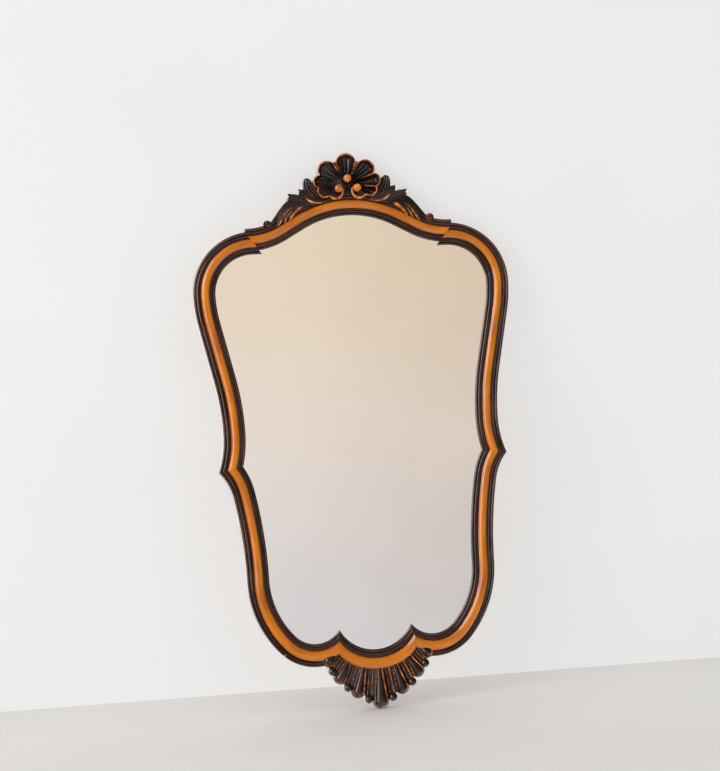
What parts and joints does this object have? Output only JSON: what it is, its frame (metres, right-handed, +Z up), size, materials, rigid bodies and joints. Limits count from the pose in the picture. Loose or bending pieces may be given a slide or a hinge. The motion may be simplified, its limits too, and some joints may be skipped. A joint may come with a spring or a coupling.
{
  "type": "wall mirror",
  "caption": "Scalloped wall mirror in a moulded hardwood frame with a carved shell crest, leaf sprays and a gadrooned fan at the foot; glass held from behind by turn buttons.",
  "frame": {"origin": "on the back of the top rail, in the middle of its flat back land, on the mirror's axis", "axes": "+Y out of the back into the wall, +Z up, +X to the right as seen from the front"},
  "size_m": [0.4628, 0.0318, 0.8012],
  "materials": {
    "frame_wood": "dark stain with a polished amber torus",
    "carved_wood": "dark stain with worn edges",
    "pearl_wood": "polished amber",
    "dowel_wood": "plain turned beech",
    "mirror": "silvered plate",
    "backing": "bare board",
    "brass": "dull",
    "steel": "plain"
  },
  "bodies": {
    "frame": {"top_rail": "frame_wood", "left_upper_stile": "frame_wood", "left_lower_stile": "frame_wood", "right_upper_stile": "frame_wood", "right_lower_stile": "frame_wood", "bottom_rail": "frame_wood", "frame_dowels": "dowel_wood", "crest_dowels": "dowel_wood", "fan_dowels": "dowel_wood", "mirror_glass": "mirror", "backing_board": "backing", "crest_shell": "carved_wood", "top_pearl": "pearl_wood", "left_pearl": "pearl_wood", "right_pearl": "pearl_wood", "left_acanthus_leaf": "carved_wood", "left_leaf_scroll": "carved_wood", "right_acanthus_leaf": "carved_wood", "right_leaf_scroll": "carved_wood", "bottom_fan": "carved_wood", "button_screws": "steel", "hanger_plate": "brass", "hanger_screws": "steel"},
    "turn_button_top_left": {"turn_button_top_left": "brass"},
    "turn_button_upper_left": {"turn_button_upper_left": "brass"},
    "turn_button_lower_left": {"turn_button_lower_left": "brass"},
    "turn_button_top_right": {"turn_button_top_right": "brass"},
    "turn_button_upper_right": {"turn_button_upper_right": "brass"},
    "turn_button_lower_right": {"turn_button_lower_right": "brass"},
    "turn_button_bottom": {"turn_button_bottom": "brass"},
    "hanger_ring": {"hanger_ring": "brass"}
  },
  "joints": [
    {"name": "turn_button_top_left_turn", "type": "hinge", "parent": "frame", "child": "turn_button_top_left", "pos_m": [-0.08432, -0.0023, -0.03785], "axis": [0, -1, 0], "range_deg": [0, 90]},
    {"name": "turn_button_upper_left_turn", "type": "hinge", "parent": "frame", "child": "turn_button_upper_left", "pos_m": [-0.1983, -0.0023, -0.21122], "axis": [0, -1, 0], "range_deg": [0, 90]},
    {"name": "turn_button_lower_left_turn", "type": "hinge", "parent": "frame", "child": "turn_button_lower_left", "pos_m": [-0.16129, -0.0023, -0.53983], "axis": [0, -1, 0], "range_deg": [0, 90]},
    {"name": "turn_button_top_right_turn", "type": "hinge", "parent": "frame", "child": "turn_button_top_right", "pos_m": [0.08432, -0.0023, -0.03785], "axis": [0, 1, 0], "range_deg": [0, 90]},
    {"name": "turn_button_upper_right_turn", "type": "hinge", "parent": "frame", "child": "turn_button_upper_right", "pos_m": [0.1983, -0.0023, -0.21122], "axis": [0, 1, 0], "range_deg": [0, 90]},
    {"name": "turn_button_lower_right_turn", "type": "hinge", "parent": "frame", "child": "turn_button_lower_right", "pos_m": [0.16129, -0.0023, -0.53983], "axis": [0, 1, 0], "range_deg": [0, 90]},
    {"name": "turn_button_bottom_turn", "type": "hinge", "parent": "frame", "child": "turn_button_bottom", "pos_m": [0, -0.0023, -0.66581], "axis": [0, 1, 0], "range_deg": [0, 90]},
    {"name": "hanger_ring_swing", "type": "hinge", "parent": "frame", "child": "hanger_ring", "pos_m": [0, -0.003, 0.0334], "axis": [1, 0, 0], "range_deg": [0, 180]}
  ]
}
